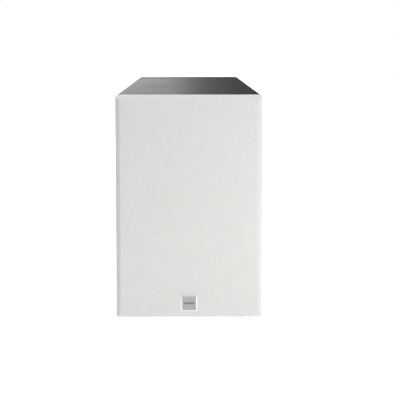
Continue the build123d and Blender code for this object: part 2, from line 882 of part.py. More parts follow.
# ================================================================ reflex port
# Heights run forwards from the back's face. Both ends of the tube are flared.
port_section = section_plane(port_z, y=cabinet_back_y)
mouth_centre = (port_bore + port_mouth_round, port_mouth_round)
tail_centre = (port_bore + port_tail_round, port_length - port_tail_round)
mouth_outer_round = port_mouth_round - port_wall
flange_meets_arc = degrees(asin((port_mouth_round - port_flange_thickness) / mouth_outer_round))
with BuildPart() as port_tube:
    with BuildSketch(port_section):
        with BuildLine():
            mouth = CenterArc(mouth_centre, port_mouth_round, 180, 90)
            tail = CenterArc(tail_centre, port_tail_round, 90, 90)
            tail_outer = CenterArc(tail_centre, port_tail_round - port_wall, 90, 90)
            mouth_outer = CenterArc(mouth_centre, mouth_outer_round, 180, flange_meets_arc)
            Line(mouth @ 0, tail @ 1)
            Line(tail @ 0, tail_outer @ 0)
            Line(tail_outer @ 1, mouth_outer @ 0)
            Polyline(
                mouth_outer @ 1,
                (port_flange, port_flange_thickness),
                (port_flange, 0.6),
                (port_flange - 0.6, 0),
                mouth @ 1,
            )
        make_face()
    revolve(axis=Axis((0, cabinet_back_y, port_z), (0, -1, 0)))

# ================================================================ terminals
cup_flange = 2.4
post_spacing = 19.05
post_places = (-post_spacing / 2, post_spacing / 2)
post_names = ("black", "red")
recess_y = cabinet_back_y - terminal_recess
cup_inner_y = recess_y - terminal_floor
recess_face = back_face.offset(-terminal_recess)
spigot_radius = 4.0
stud_radius = 3.0

with BuildPart() as terminal_cup:
    with BuildSketch(back_face):
        with Locations((0, terminal_z)):
            RectangleRounded(*terminal_flange, 5)
    extrude(amount=-cup_flange)
    chamfer(terminal_cup.faces().sort_by(Axis.Y)[-1].edges(), length=0.6)
    with BuildSketch(back_face.offset(-cup_flange)):
        with Locations((0, terminal_z)):
            RectangleRounded(*terminal_body, 4)
    extrude(amount=cup_flange - terminal_recess - terminal_floor)
    with BuildSketch(back_face):
        with Locations((0, terminal_z)):
            RectangleRounded(
                terminal_body[0] - 2 * terminal_wall, terminal_body[1] - 2 * terminal_wall, 3
            )
    extrude(amount=-terminal_recess, mode=Mode.SUBTRACT)
    fillet(terminal_cup.faces().sort_by(Axis.Y)[-1].inner_wires().edges(), radius=1.2)
    with Locations(recess_face):
        with Locations((0, terminal_z)):
            with GridLocations(post_spacing, 1, 2, 1):
                Hole(radius=spigot_radius, depth=terminal_floor)
    with Locations(back_face):
        with Locations((0, terminal_z)):
            with GridLocations(*terminal_screws_apart, 2, 2):
                CounterSinkHole(
                    radius=terminal_screw_shank + 0.2,
                    counter_sink_radius=terminal_screw_head + 0.1,
                    depth=cup_flange,
                    counter_sink_angle=90,
                )

with BuildPart() as terminal_gasket:
    with BuildSketch(back_face.offset(-cup_flange)):
        with Locations((0, terminal_z)):
            RectangleRounded(terminal_flange[0] - 1, terminal_flange[1] - 1, 4.5)
            RectangleRounded(terminal_body[0] + 1, terminal_body[1] + 1, 4, mode=Mode.SUBTRACT)
            with GridLocations(*terminal_screws_apart, 2, 2):
                Circle(terminal_screw_shank + 0.2, mode=Mode.SUBTRACT)
    extrude(amount=cup_flange - terminal_flange_thickness)

with BuildPart() as terminal_screws:
    for x in (-terminal_screws_apart[0] / 2, terminal_screws_apart[0] / 2):
        for z in (-terminal_screws_apart[1] / 2, terminal_screws_apart[1] / 2):
            screw_from(
                (x, cabinet_back_y, terminal_z + z),
                (0, 1, 0),
                terminal_screw_shank,
                terminal_screw_head,
                terminal_screw_length,
                1.2,
            )


def on_post(x, y):
    """A plane across one binding post, facing backwards."""
    return Plane(origin=(x, y, terminal_z), x_dir=(-1, 0, 0), z_dir=(0, 1, 0))


collar = 3.0
washer = 1.0
nut_length = 14.0
nut_radius = 7.2
stud_inner_y = cup_inner_y - 8
stud_outer_y = recess_y + 21
plug_radius = 2.05
plug_depth = 12.0

with BuildPart() as post_studs:
    for x in post_places:
        with BuildSketch(on_post(x, stud_inner_y)):
            Circle(stud_radius)
        extrude(amount=stud_outer_y - stud_inner_y)
    chamfer(post_studs.faces().sort_by(Axis.Y)[-2:].edges(), length=0.4)
    for x in post_places:
        with Locations(on_post(x, stud_outer_y)):
            Hole(radius=plug_radius, depth=plug_depth)
        with BuildSketch(Plane(origin=(x, recess_y + collar + 1.3, terminal_z), z_dir=(1, 0, 0))):
            Circle(1.2)
        extrude(amount=4, both=True, mode=Mode.SUBTRACT)

post_bases = {}
post_washers = {}
post_nuts = {}
for post_name, x in zip(post_names, post_places):
    with BuildPart() as post_base:
        with BuildSketch(on_post(x, cup_inner_y)):
            Circle(spigot_radius)
        extrude(amount=terminal_floor)
        with BuildSketch(on_post(x, recess_y)):
            Circle(nut_radius + 0.6)
        extrude(amount=collar)
        chamfer(post_base.faces().sort_by(Axis.Y)[-1].edges(), length=0.5)
        with Locations(on_post(x, recess_y + collar)):
            Hole(radius=stud_radius, depth=collar + terminal_floor)
    post_bases[post_name] = post_base

    with BuildPart() as post_washer:
        with BuildSketch(on_post(x, recess_y + collar)):
            Circle(6.5)
            Circle(stud_radius + 0.05, mode=Mode.SUBTRACT)
        extrude(amount=washer)
    post_washers[post_name] = post_washer

    # The grip is fluted between two plain rims.
    with BuildPart() as post_nut:
        with BuildSketch(on_post(x, recess_y + collar + washer)):
            Circle(nut_radius - 0.5)
        extrude(amount=nut_length)
        chamfer(post_nut.edges(), length=0.6)
        with BuildSketch(on_post(x, recess_y + collar + washer + 2)):
            Circle(nut_radius)
            with PolarLocations(nut_radius + 0.15, 20):
                Circle(0.7, mode=Mode.SUBTRACT)
        extrude(amount=nut_length - 4)
        with Locations(on_post(x, recess_y + collar + washer + nut_length)):
            Hole(radius=stud_radius + 0.05, depth=nut_length)
    post_nuts[post_name] = post_nut

# Inside the cabinet each stud carries a ring lug and a hexagon nut.
wire = 1.1
lug = 0.8
with BuildPart() as post_hex_nuts:
    for x in post_places:
        with BuildSketch(on_post(x, cup_inner_y - lug)):
            RegularPolygon(radius=5.5, side_count=6)
            Circle(stud_radius, mode=Mode.SUBTRACT)
        extrude(amount=-4)

# ================================================================ crossover and wiring
# Places on the board are given as X and as depth behind the baffle's face.
board_size = (80.0, 80.0)
board_thickness = 1.6
board_z = inner_floor_z + 6
board_top = board_z + board_thickness
board_middle = (0, cabinet_front_y + 102)
board_screw_apart = (72.0, 72.0)
woofer_out = (24.0, 68.0)
tweeter_out = (30.0, 110.0)
line_in = (14.0, 136.0)


def on_board(x, depth, z=board_top):
    """A horizontal plane over one place on the crossover board."""
    return Plane(origin=(x, cabinet_front_y + depth, z))


with BuildPart() as crossover_board:
    with BuildSketch(Plane.XY.offset(board_z)):
        with Locations(board_middle):
            RectangleRounded(*board_size, 2)
            with GridLocations(*board_screw_apart, 2, 2):
                Circle(1.6, mode=Mode.SUBTRACT)
    extrude(amount=board_thickness)

# Hexagonal spacers hold the board off the floor, with a screw through each.
with BuildPart() as crossover_mounts:
    with BuildSketch(Plane.XY.offset(inner_floor_z)):
        with Locations(board_middle):
            with GridLocations(*board_screw_apart, 2, 2):
                RegularPolygon(radius=4, side_count=6)
    extrude(amount=board_z - inner_floor_z)
    with BuildSketch(Plane.XY.offset(board_z)):
        with Locations(board_middle):
            with GridLocations(*board_screw_apart, 2, 2):
                Circle(1.6)
    extrude(amount=board_thickness)
    with BuildSketch(Plane.XY.offset(board_top)):
        with Locations(board_middle):
            with GridLocations(*board_screw_apart, 2, 2):
                Circle(3.0)
    extrude(amount=2)
    chamfer(crossover_mounts.faces().filter_by(Axis.Z).group_by(Axis.Z)[-1].edges(), length=0.7)

# Two air-cored inductors with their axes at a right angle.
coil_places = (
    (Plane(on_board(-16, 88).origin, z_dir=(0, 0, 1)), 13.5, 15.0),
    (Plane(on_board(18, 81, board_top + 10.5).origin, z_dir=(0, 1, 0)), 10.5, 18.0),
)
with BuildPart() as crossover_coils:
    for coil_plane, coil_radius, coil_height in coil_places:
        with BuildSketch(coil_plane):
            Circle(coil_radius)
            Circle(coil_radius * 0.45, mode=Mode.SUBTRACT)
        extrude(amount=coil_height)
        chamfer(crossover_coils.edges(Select.LAST).filter_by(GeomType.CIRCLE), length=0.8)

# Film capacitors lie on the board with their leads bent down into it.
capacitor_places = ((-11.5, 112.0, 7.0, 26.0), (14.0, 121.0, 5.5, 20.0))
with BuildPart() as crossover_capacitors:
    for x, depth, radius, length in capacitor_places:
        axis_z = board_top + radius + 0.3
        with BuildSketch(Plane(origin=on_board(x - length / 2, depth, axis_z).origin, z_dir=(1, 0, 0))):
            Circle(radius)
        extrude(amount=length)
        fillet(crossover_capacitors.edges(Select.LAST).filter_by(GeomType.CIRCLE), radius=1.2)

with BuildPart() as crossover_resistors:
    for x, depth in ((0, 68), (-13, 127)):
        with BuildSketch(on_board(x, depth)):
            Rectangle(20, 8)
        extrude(amount=8)
    chamfer(crossover_resistors.edges().filter_by(Axis.X), length=0.5)

with BuildPart() as crossover_tabs:
    for x, depth in (woofer_out, tweeter_out, line_in):
        for side in (-1, 1):
            with BuildSketch(on_board(side * x, depth)):
                Rectangle(tab_width, tab_thickness)
            extrude(amount=tab_length)

sleeve_base = 5.7
sleeve_end = 8.5
sleeve_bore = 4.5


def tab_tip(place, away):
    """The plane across a tab's tip, facing away from the tab's base."""
    return Plane(origin=place, x_dir=(1, 0, 0), z_dir=away)


board_tip = board_top + tab_length
wire_ends = []
for side in (-1, 1):
    wire_ends.append(tab_tip((side * woofer_tab_x, woofer_tab_y, woofer_board_z - tab_length), (0, 0, -1)))
    tip_y = cabinet_front_y - tweeter_yoke_back + 2 + tab_length
    wire_ends.append(tab_tip((side * tweeter_tab_x, tip_y, tweeter_tab_z), (0, 1, 0)))
    for x, depth in (woofer_out, tweeter_out, line_in):
        wire_ends.append(tab_tip((side * x, cabinet_front_y + depth, board_tip), (0, 0, 1)))

with BuildPart() as wire_connectors:
    for tip in wire_ends:
        with BuildSketch(tip.offset(-sleeve_base)):
            RectangleRounded(6.8, 3.4, 1.2)
        extrude(amount=sleeve_base + sleeve_end)
        with BuildSketch(tip.offset(-sleeve_base)):
            Rectangle(tab_width, tab_thickness)
        extrude(amount=sleeve_base, mode=Mode.SUBTRACT)
        with Locations(tip.offset(sleeve_end)):
            Hole(radius=wire, depth=sleeve_bore)
    # Ring lugs on the posts, with a barrel that points down.
    for x in post_places:
        with BuildSketch(on_post(x, cup_inner_y)):
            Circle(5.8)
            with Locations((0, -8)):
                Rectangle(4.4, 8)
            Circle(stud_radius, mode=Mode.SUBTRACT)
        extrude(amount=-lug)
        with BuildSketch(Plane.XY.offset(terminal_z - 18)):
            with Locations((x, cup_inner_y - 1.9)):
                RectangleRounded(4.4, 3.6, 1)
        extrude(amount=9)
        with BuildSketch(Plane.XY.offset(terminal_z - 18)):
            with Locations((x, cup_inner_y - 1.9)):
                Circle(wire)
        extrude(amount=6, mode=Mode.SUBTRACT)


def deep(x, depth, z):
    """A point at a depth behind the baffle's face."""
    return (x, cabinet_front_y + depth, z)


bore_end = sleeve_end - sleeve_bore
lug_depth = cup_inner_y - 1.9 - cabinet_front_y
tweeter_wire_depth = -tweeter_yoke_back + 2 + tab_length + bore_end
woofer_wire_z = woofer_board_z - tab_length - bore_end
post_wire_z = terminal_z - 12


def wires(side):
    """The three wires of one polarity: from the post, to the woofer and to the tweeter."""
    from_post = [
        deep(side * post_spacing / 2, lug_depth, post_wire_z),
        deep(side * post_spacing / 2, lug_depth, 39),
        deep(side * line_in[0], line_in[1], 53),
        deep(side * line_in[0], line_in[1], board_tip + bore_end),
    ]
    to_woofer = [
        deep(side * woofer_tab_x, 37, woofer_wire_z),
        deep(side * woofer_tab_x, 37, 21.5),
        deep(side * woofer_out[0], 50, 21.5),
        deep(side * woofer_out[0], 56, 46),
        deep(side * woofer_out[0], woofer_out[1], 46),
        deep(side * woofer_out[0], woofer_out[1], board_tip + bore_end),
    ]
    to_tweeter = [
        deep(side * tweeter_tab_x, tweeter_wire_depth, tweeter_tab_z),
        deep(side * tweeter_tab_x, 54, tweeter_tab_z),
        deep(side * 20, 78, 178),
        deep(side * 24, 84, 58),
        deep(side * tweeter_out[0], tweeter_out[1], 52),
        deep(side * tweeter_out[0], tweeter_out[1], board_tip + bore_end),
    ]
    for points in (from_post, to_woofer, to_tweeter):
        tube_along(points, 4, wire)


with BuildPart() as wiring_black:
    wires(-1)

with BuildPart() as wiring_red:
    wires(1)

# ================================================================ files
pieces = {
    "cabinet_top": cabinet_top,
    "cabinet_bottom": cabinet_bottom,
    "cabinet_side_left": cabinet_side_left,
    "cabinet_side_right": cabinet_side_right,
    "cabinet_back": cabinet_back,
    "front_baffle": front_baffle,
    "baffle_cleats": baffle_cleats,
    "cabinet_brace": cabinet_brace,
    "rubber_feet": rubber_feet,
    "rear_inserts": rear_inserts,
    "damping_pads": damping_pads,
    "grille_frame": grille_frame,
    "grille_cloth": grille_cloth,
    "grille_pegs": grille_pegs,
    "grille_sockets": grille_sockets,
    "badge": badge,
    "woofer_basket": woofer_basket,
    "woofer_surround": woofer_surround,
    "woofer_clamp_ring": woofer_clamp_ring,
    "woofer_cone": woofer_cone,
    "woofer_dust_cap": woofer_dust_cap,
    "woofer_coil_former": woofer_coil_former,
    "woofer_winding": woofer_winding,
    "woofer_spider": woofer_spider,
    "woofer_top_plate": woofer_top_plate,
    "woofer_magnet": woofer_magnet,
    "woofer_pole_yoke": woofer_pole_yoke,
    "woofer_tinsel_leads": woofer_tinsel_leads,
    "driver_screws": driver_screws,
    "driver_gaskets": driver_gaskets,
    "driver_terminals": driver_terminals,
    "tweeter_faceplate": tweeter_faceplate,
    "tweeter_dome": tweeter_dome,
    "tweeter_surround": tweeter_surround,
    "tweeter_voice_coil": tweeter_voice_coil,
    "tweeter_top_plate": tweeter_top_plate,
    "tweeter_magnet": tweeter_magnet,
    "tweeter_pole_yoke": tweeter_pole_yoke,
    "tweeter_rear_cup": tweeter_rear_cup,
    "port_tube": port_tube,
    "terminal_cup": terminal_cup,
    "terminal_screws": terminal_screws,
    "post_studs": post_studs,
    "post_base_black": post_bases["black"],
    "post_base_red": post_bases["red"],
    "post_washer_black": post_washers["black"],
    "post_washer_red": post_washers["red"],
    "post_nut_black": post_nuts["black"],
    "post_nut_red": post_nuts["red"],
    "post_hex_nuts": post_hex_nuts,
    "crossover_board": crossover_board,
    "crossover_mounts": crossover_mounts,
    "crossover_tabs": crossover_tabs,
    "crossover_coils": crossover_coils,
    "crossover_capacitors": crossover_capacitors,
    "crossover_resistors": crossover_resistors,
    "wire_connectors": wire_connectors,
    "wiring_red": wiring_red,
    "wiring_black": wiring_black,
    "terminal_gasket": terminal_gasket,
}
os.makedirs("parts", exist_ok=True)
for label, piece in pieces.items():
    piece.part.label = label
    export_step(piece.part, f"parts/{label}.step")
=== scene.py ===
import json
import math

import bpy
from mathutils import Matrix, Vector, noise


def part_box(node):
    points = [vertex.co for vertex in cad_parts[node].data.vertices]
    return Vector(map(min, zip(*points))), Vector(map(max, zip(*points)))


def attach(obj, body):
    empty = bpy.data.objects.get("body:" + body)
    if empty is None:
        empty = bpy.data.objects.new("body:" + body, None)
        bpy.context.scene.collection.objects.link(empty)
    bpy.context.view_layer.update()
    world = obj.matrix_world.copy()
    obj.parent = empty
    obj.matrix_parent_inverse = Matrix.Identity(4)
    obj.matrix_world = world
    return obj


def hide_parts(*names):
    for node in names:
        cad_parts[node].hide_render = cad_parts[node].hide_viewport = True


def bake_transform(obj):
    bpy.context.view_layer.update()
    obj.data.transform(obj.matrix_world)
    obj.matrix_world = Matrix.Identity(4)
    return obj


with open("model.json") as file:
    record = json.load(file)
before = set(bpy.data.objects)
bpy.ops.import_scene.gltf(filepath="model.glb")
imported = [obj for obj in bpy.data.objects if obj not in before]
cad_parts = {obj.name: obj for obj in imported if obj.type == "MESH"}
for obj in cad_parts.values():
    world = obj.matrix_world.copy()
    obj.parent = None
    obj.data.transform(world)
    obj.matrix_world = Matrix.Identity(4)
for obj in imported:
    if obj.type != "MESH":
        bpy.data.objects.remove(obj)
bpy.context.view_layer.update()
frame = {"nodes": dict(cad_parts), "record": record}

MM = 0.001
GRILLE_LOW, GRILLE_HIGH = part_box("grille_cloth")
BADGE_LOW, BADGE_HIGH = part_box("badge")
SURROUND_LOW, SURROUND_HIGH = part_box("woofer_surround")
DOME_LOW, DOME_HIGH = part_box("tweeter_dome")
BAFFLE_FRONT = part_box("front_baffle")[0].y
CABINET_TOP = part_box("cabinet_top")[1].z
GRILLE_BACK = GRILLE_HIGH.y
GRILLE_FRONT = GRILLE_LOW.y
WOOFER_Z = (SURROUND_LOW.z + SURROUND_HIGH.z) / 2
TWEETER_Z = (DOME_LOW.z + DOME_HIGH.z) / 2


# ------------------------------------------------------------------ shader helpers
class Surface:
    """A Principled material whose colour, roughness and bump come from procedural nodes."""

    def __init__(self, name, base, rough, metal=0.0, fixed=None):
        self.material = bpy.data.materials.new(name)
        self.material.use_nodes = True
        self.nodes = self.material.node_tree.nodes
        self.links = self.material.node_tree.links
        self.bsdf = self.nodes["Principled BSDF"]
        self.base = base
        self.bsdf.inputs["Base Color"].default_value = (*base, 1)
        self.bsdf.inputs["Roughness"].default_value = rough
        self.bsdf.inputs["Metallic"].default_value = metal
        for socket, value in (fixed or {}).items():
            self.bsdf.inputs[socket].default_value = value
        self.coords = self.nodes.new("ShaderNodeTexCoord").outputs["Object"]
        self.normal = None
        self.tone = None

    def node(self, kind, inputs=None, **settings):
        """Adds a shader node. Each input is a value, or a socket to link from."""
        made = self.nodes.new("ShaderNode" + kind)
        for key, value in settings.items():
            setattr(made, key, value)
        for key, value in (inputs or {}).items():
            if isinstance(value, bpy.types.NodeSocket):
                self.links.new(value, made.inputs[key])
            else:
                made.inputs[key].default_value = value
        return made

    def math(self, operation, a, b=0.0, c=0.0):
        return self.node("Math", {0: a, 1: b, 2: c}, operation=operation).outputs[0]

    def stretched(self, stretch):
        """Object coordinates scaled along each axis, for grain that runs one way."""
        return self.node("Mapping", {"Vector": self.coords, "Scale": stretch}).outputs[0]

    def noise(self, scale, detail=3.0, stretch=(1, 1, 1), rough=0.55):
        """Solid noise in the piece's own coordinates, from 0 to 1."""
        inputs = {
            "Vector": self.stretched(stretch), "Scale": scale,
            "Detail": detail, "Roughness": rough,
        }
        return self.node("TexNoise", inputs).outputs["Fac"]

    def ranged(self, value, low, high, new_low, new_high):
        """Carries a value from one range to another, and holds it at the ends."""
        inputs = {
            "Value": value, "From Min": low, "From Max": high,
            "To Min": new_low, "To Max": new_high,
        }
        return self.node("MapRange", inputs).outputs[0]

    def mixed(self, factor, a, b):
        """Colour a where the factor is 0 and colour b where it is 1."""
        made = self.node("Mix", data_type="RGBA")
        for key, value in ((0, factor), (6, a), (7, b)):
            if isinstance(value, bpy.types.NodeSocket):
                self.links.new(value, made.inputs[key])
            else:
                made.inputs[key].default_value = value if key == 0 else (*value[:3], 1)
        return made.outputs[2]

    def shaded(self, amount):
        """The base colour, darker below 1 and lighter above it."""
        return tuple(min(1.0, c * amount) for c in self.base)

    def colour(self, socket):
        self.links.new(socket, self.bsdf.inputs["Base Color"])

    def mottle(self, scale, amount, detail=4.0, stretch=(1, 1, 1)):
        """Makes the base colour a little darker and lighter from place to place."""
        factor = self.ranged(self.noise(scale, detail, stretch), 0.3, 0.7, 0, 1)
        self.tone = self.mixed(factor, self.shaded(1 - amount), self.shaded(1 + amount))
        self.colour(self.tone)
        return self

    def rough_from(self, scale, low, high, stretch=(1, 1, 1)):
        """Lets the roughness wander between two values."""
        factor = self.ranged(self.noise(scale, stretch=stretch), 0.3, 0.7, low, high)
        self.links.new(factor, self.bsdf.inputs["Roughness"])
        return self

    def raise_by(self, height, distance):
        """Adds a bump of that many metres on top of the ones before it."""
        inputs = {"Height": height, "Distance": distance, "Strength": 1.0}
        if self.normal is not None:
            inputs["Normal"] = self.normal
        self.normal = self.node("Bump", inputs).outputs[0]
        self.links.new(self.normal, self.bsdf.inputs["Normal"])
        return self

    def pebble(self, scale, distance, detail=2.0, stretch=(1, 1, 1)):
        """A grain of that depth over the surface."""
        return self.raise_by(self.noise(scale, detail, stretch), distance)

    def threads(self, coords, pitch):
        """The height of a plain weave of that pitch, and how much of it is warp."""
        split = self.node("SeparateXYZ", {0: coords})
        across, along = (self.math("DIVIDE", split.outputs[i], pitch) for i in (0, 1))
        rows = []
        for u, v, sign in ((across, along, 0.5), (along, across, -0.5)):
            ridge = self.math("ABSOLUTE", self.math("SINE", self.math("MULTIPLY", u, math.pi)))
            turn = self.math("ADD", v, self.math("FLOOR", u))
            wave = self.math("COSINE", self.math("MULTIPLY", turn, math.pi))
            over = self.math("MULTIPLY_ADD", wave, sign, 0.5)
            rows.append(self.math("MULTIPLY", ridge, over))
        return self.math("MAXIMUM", *rows), self.math("GREATER_THAN", *rows)


def plastic(name, base, rough, grain=900, depth=0.03 * MM, coat=0.0):
    """Moulded or painted: fine grain, and a clear coat where it is polished."""
    made = Surface(name, base, rough, fixed={"Coat Weight": coat, "Coat Roughness": 0.15})
    made.mottle(35, 0.10).rough_from(120, rough - 0.06, rough + 0.08)
    return made.pebble(grain, depth, 3.0)


def metal(name, base, rough, stretch=(1, 1, 1), scale=300):
    """Turned, plated or brushed, with its fine scratches drawn out along the stretch."""
    made = Surface(name, base, rough, metal=1.0)
    made.mottle(scale * 0.5, 0.07, stretch=stretch)
    made.rough_from(scale, rough - 0.07, rough + 0.09, stretch=stretch)
    return made.pebble(scale * 2, 0.01 * MM, 3.0, stretch)


def rubber(name, base, rough, grain=1400):
    """Dull and a little dusty at grazing angles."""
    made = Surface(name, base, rough, fixed={"Sheen Weight": 0.15, "Sheen Roughness": 0.5})
    made.mottle(60, 0.15).rough_from(200, rough - 0.08, rough + 0.08)
    return made.pebble(grain, 0.02 * MM, 3.0)


def lacquer(name, base, rough):
    """Sprayed satin lacquer: a faint orange peel, dust specks and hazy patches."""
    made = Surface(name, base, rough, fixed={"Coat Weight": 0.15, "Coat Roughness": 0.3})
    made.mottle(14, 0.06).rough_from(26, rough - 0.03, rough + 0.03)
    made.pebble(260, 0.012 * MM, 2.0)
    return made.pebble(2200, 0.003 * MM, 2.0)


def fibreboard(name, base):
    """Raw cut board of pressed wood dust."""
    made = Surface(name, base, 0.85)
    made.mottle(900, 0.3, 6.0).rough_from(400, 0.75, 0.95)
    return made.pebble(1500, 0.08 * MM, 5.0)


def felt(name, base):
    """Needled felt: short tangled fibres over soft clumps."""
    made = Surface(name, base, 0.95, fixed={"Sheen Weight": 0.5, "Sheen Roughness": 0.6})
    made.mottle(500, 0.35, 8.0)
    made.pebble(90, 0.8 * MM, 3.0)
    return made.pebble(1600, 0.3 * MM, 8.0)


def woven(name, base, pitch, depth, coords=None, tint=0.06, sheen=0.2, rough=0.9, shade=0.62):
    """Plain-woven cloth whose warp and weft differ a little, with painted shade between the
    threads.
    """
    made = Surface(name, base, rough, fixed={"Sheen Weight": sheen, "Sheen Roughness": 0.4})
    if coords:
        coords = made.node("Attribute", attribute_name=coords).outputs["Vector"]
    height, warp = made.threads(coords or made.coords, pitch)
    slub = made.ranged(made.noise(220, 3.0), 0.3, 0.7, 1 - tint, 1 + tint)
    yarn = made.mixed(warp, made.shaded(0.97), made.shaded(1.03))
    # Painted shade: the colour darkens where the weave is low, between the threads.
    thread_gap_shade = made.ranged(height, 0.0, 0.75, shade, 1.0)
    scaled = made.node("VectorMath", {0: yarn, 1: made.math("MULTIPLY", thread_gap_shade, slub)},
                       operation="MULTIPLY").outputs[0]
    made.tone = scaled
    made.colour(scaled)
    made.rough_from(500, rough - 0.08, min(1.0, rough + 0.05))
    return made.raise_by(height, depth)


def paper(name, base, fibres=700):
    """Pressed pulp: long fibres and a slightly mottled body."""
    made = Surface(name, base, 0.7)
    fibre = made.noise(fibres, 6.0, (1, 0.25, 1), 0.7)
    made.colour(made.mixed(made.ranged(fibre, 0.55, 0.72, 0, 1), made.base, made.shaded(1.9)))
    made.rough_from(260, 0.55, 0.8)
    made.raise_by(fibre, 0.05 * MM)
    return made.pebble(180, 0.06 * MM, 4.0)


def winding(name, base):
    """Enamelled copper wire laid turn by turn."""
    made = Surface(name, base, 0.3, metal=1.0, fixed={"Coat Weight": 0.6, "Coat Roughness": 0.1})
    turns = made.node("TexWave", {"Vector": made.coords, "Scale": 320.0, "Distortion": 0.4},
                      wave_type="BANDS", bands_direction="DIAGONAL").outputs["Fac"]
    # Painted shade: the turns are darker in the grooves between them, where the bump is low.
    made.colour(made.mixed(turns, made.shaded(0.55), made.shaded(1.1)))
    return made.raise_by(turns, 0.12 * MM)


def ceramic(name, base, rough):
    """Sintered grains: speckled and slightly rough."""
    made = Surface(name, base, rough)
    made.mottle(500, 0.2, 6.0).rough_from(300, rough - 0.1, rough + 0.1)
    return made.pebble(1200, 0.03 * MM, 5.0)


def circuit(name, base):
    """Solder resist over copper tracks that run square to the board."""
    made = Surface(name, base, 0.35, fixed={"Coat Weight": 0.4, "Coat Roughness": 0.1})
    cells = made.node("TexBrick", {"Vector": made.coords, "Scale": 90.0, "Mortar Size": 0.06})
    made.colour(made.mixed(cells.outputs["Fac"], made.base, made.shaded(2.2)))
    return made.raise_by(cells.outputs["Fac"], 0.05 * MM)


ALONG_X = (0.04, 1, 1)
SLOTS = {
    "lacquer": lacquer("satin_lacquer", (0.019, 0.0188, 0.0184), 0.42),
    "baffle_paint": plastic("matt_paint", (0.02, 0.02, 0.0205), 0.55, 700, 0.04 * MM),
    "raw_board": fibreboard("raw_fibreboard", (0.42, 0.29, 0.18)),
    "foot_rubber": rubber("foot_rubber", (0.018, 0.018, 0.018), 0.75),
    "insert_brass": metal("turned_brass", (0.75, 0.55, 0.25), 0.3),
    "felt": felt("damping_felt", (0.16, 0.16, 0.17)),
    "frame_plastic": plastic("frame_plastic", (0.03, 0.03, 0.031), 0.5, 800, 0.05 * MM),
    "peg_plastic": plastic("peg_plastic", (0.04, 0.04, 0.041), 0.35, 600, 0.01 * MM),
    "socket_rubber": rubber("socket_rubber", (0.02, 0.02, 0.02), 0.7),
    "badge_metal": metal("brushed_badge", (0.292, 0.292, 0.295), 0.36, ALONG_X, 900),
    "basket_steel": plastic("powder_coat", (0.022, 0.022, 0.023), 0.42, 1100, 0.06 * MM),
    "surround_rubber": rubber("surround_rubber", (0.017, 0.017, 0.018), 0.42),
    "clamp_plastic": plastic("clamp_plastic", (0.02, 0.02, 0.021), 0.38, 1200, 0.02 * MM),
    "cone_paper": paper("cone_paper", (0.045, 0.045, 0.047)),
    "cap_paper": paper("cap_paper", (0.03, 0.03, 0.031), 900),
    "former_aluminium": metal("former_foil", (0.8, 0.8, 0.81), 0.3, (1, 0.1, 1)),
    "winding_copper": winding("enamelled_copper", (0.72, 0.36, 0.18)),
    "spider_cloth": woven("spider_cloth", (0.42, 0.24, 0.07), 0.6 * MM, 0.1 * MM),
    "zinc_steel": metal("zinc_plate", (0.68, 0.69, 0.7), 0.32, (1, 1, 1), 220),
    "ferrite": ceramic("ferrite", (0.05, 0.05, 0.053), 0.5),
    "tab_board": plastic("phenolic_board", (0.3, 0.16, 0.07), 0.45),
    "tinsel": woven("tinsel_braid", (0.6, 0.4, 0.22), 0.35 * MM, 0.08 * MM),
    "screw_steel": metal("black_oxide", (0.06, 0.06, 0.062), 0.36),
    "gasket_foam": rubber("gasket_foam", (0.03, 0.03, 0.03), 0.9, 900),
    "faceplate_plastic": plastic("faceplate_plastic", (0.018, 0.018, 0.019), 0.36, 1300, 0.02 * MM),
    "dome_silk": woven("dome_silk", (0.02, 0.02, 0.023), 0.3 * MM, 0.03 * MM, sheen=0.3, rough=0.5),
    "rear_cup_plastic": plastic("rear_cup_plastic", (0.03, 0.03, 0.03), 0.5),
    "port_plastic": plastic("port_plastic", (0.02, 0.02, 0.021), 0.4, 1000, 0.03 * MM),
    "cup_plastic": plastic("cup_plastic", (0.022, 0.022, 0.023), 0.45, 700, 0.06 * MM),
    "gold_brass": metal("gold_plate", (0.86, 0.62, 0.24), 0.2),
    "black_plastic": plastic("black_polished", (0.012, 0.012, 0.012), 0.22, 300, 0.01 * MM, 0.4),
    "red_plastic": plastic("red_polished", (0.42, 0.012, 0.012), 0.22, 300, 0.01 * MM, 0.4),
    "circuit_board": circuit("circuit_board", (0.02, 0.11, 0.05)),
    "film_plastic": plastic("capacitor_film", (0.62, 0.36, 0.05), 0.3, 300, 0.02 * MM, 0.3),
    "cement": ceramic("resistor_cement", (0.7, 0.69, 0.64), 0.8),
    "sleeve_vinyl": plastic("sleeve_vinyl", (0.6, 0.6, 0.57), 0.4),
    "tab_tin": metal("tinned_tab", (0.72, 0.72, 0.71), 0.35),
    "wire_red": plastic("wire_red", (0.4, 0.02, 0.02), 0.35, 500, 0.01 * MM, 0.2),
    "wire_black": plastic("wire_black", (0.015, 0.015, 0.015), 0.35, 500, 0.01 * MM, 0.2),
    "grille_weave": woven("grille_weave", (0.602, 0.612, 0.595), 0.85 * MM, 0.10 * MM, "weave",
                          tint=0.02, sheen=0.1, shade=0.8),
}
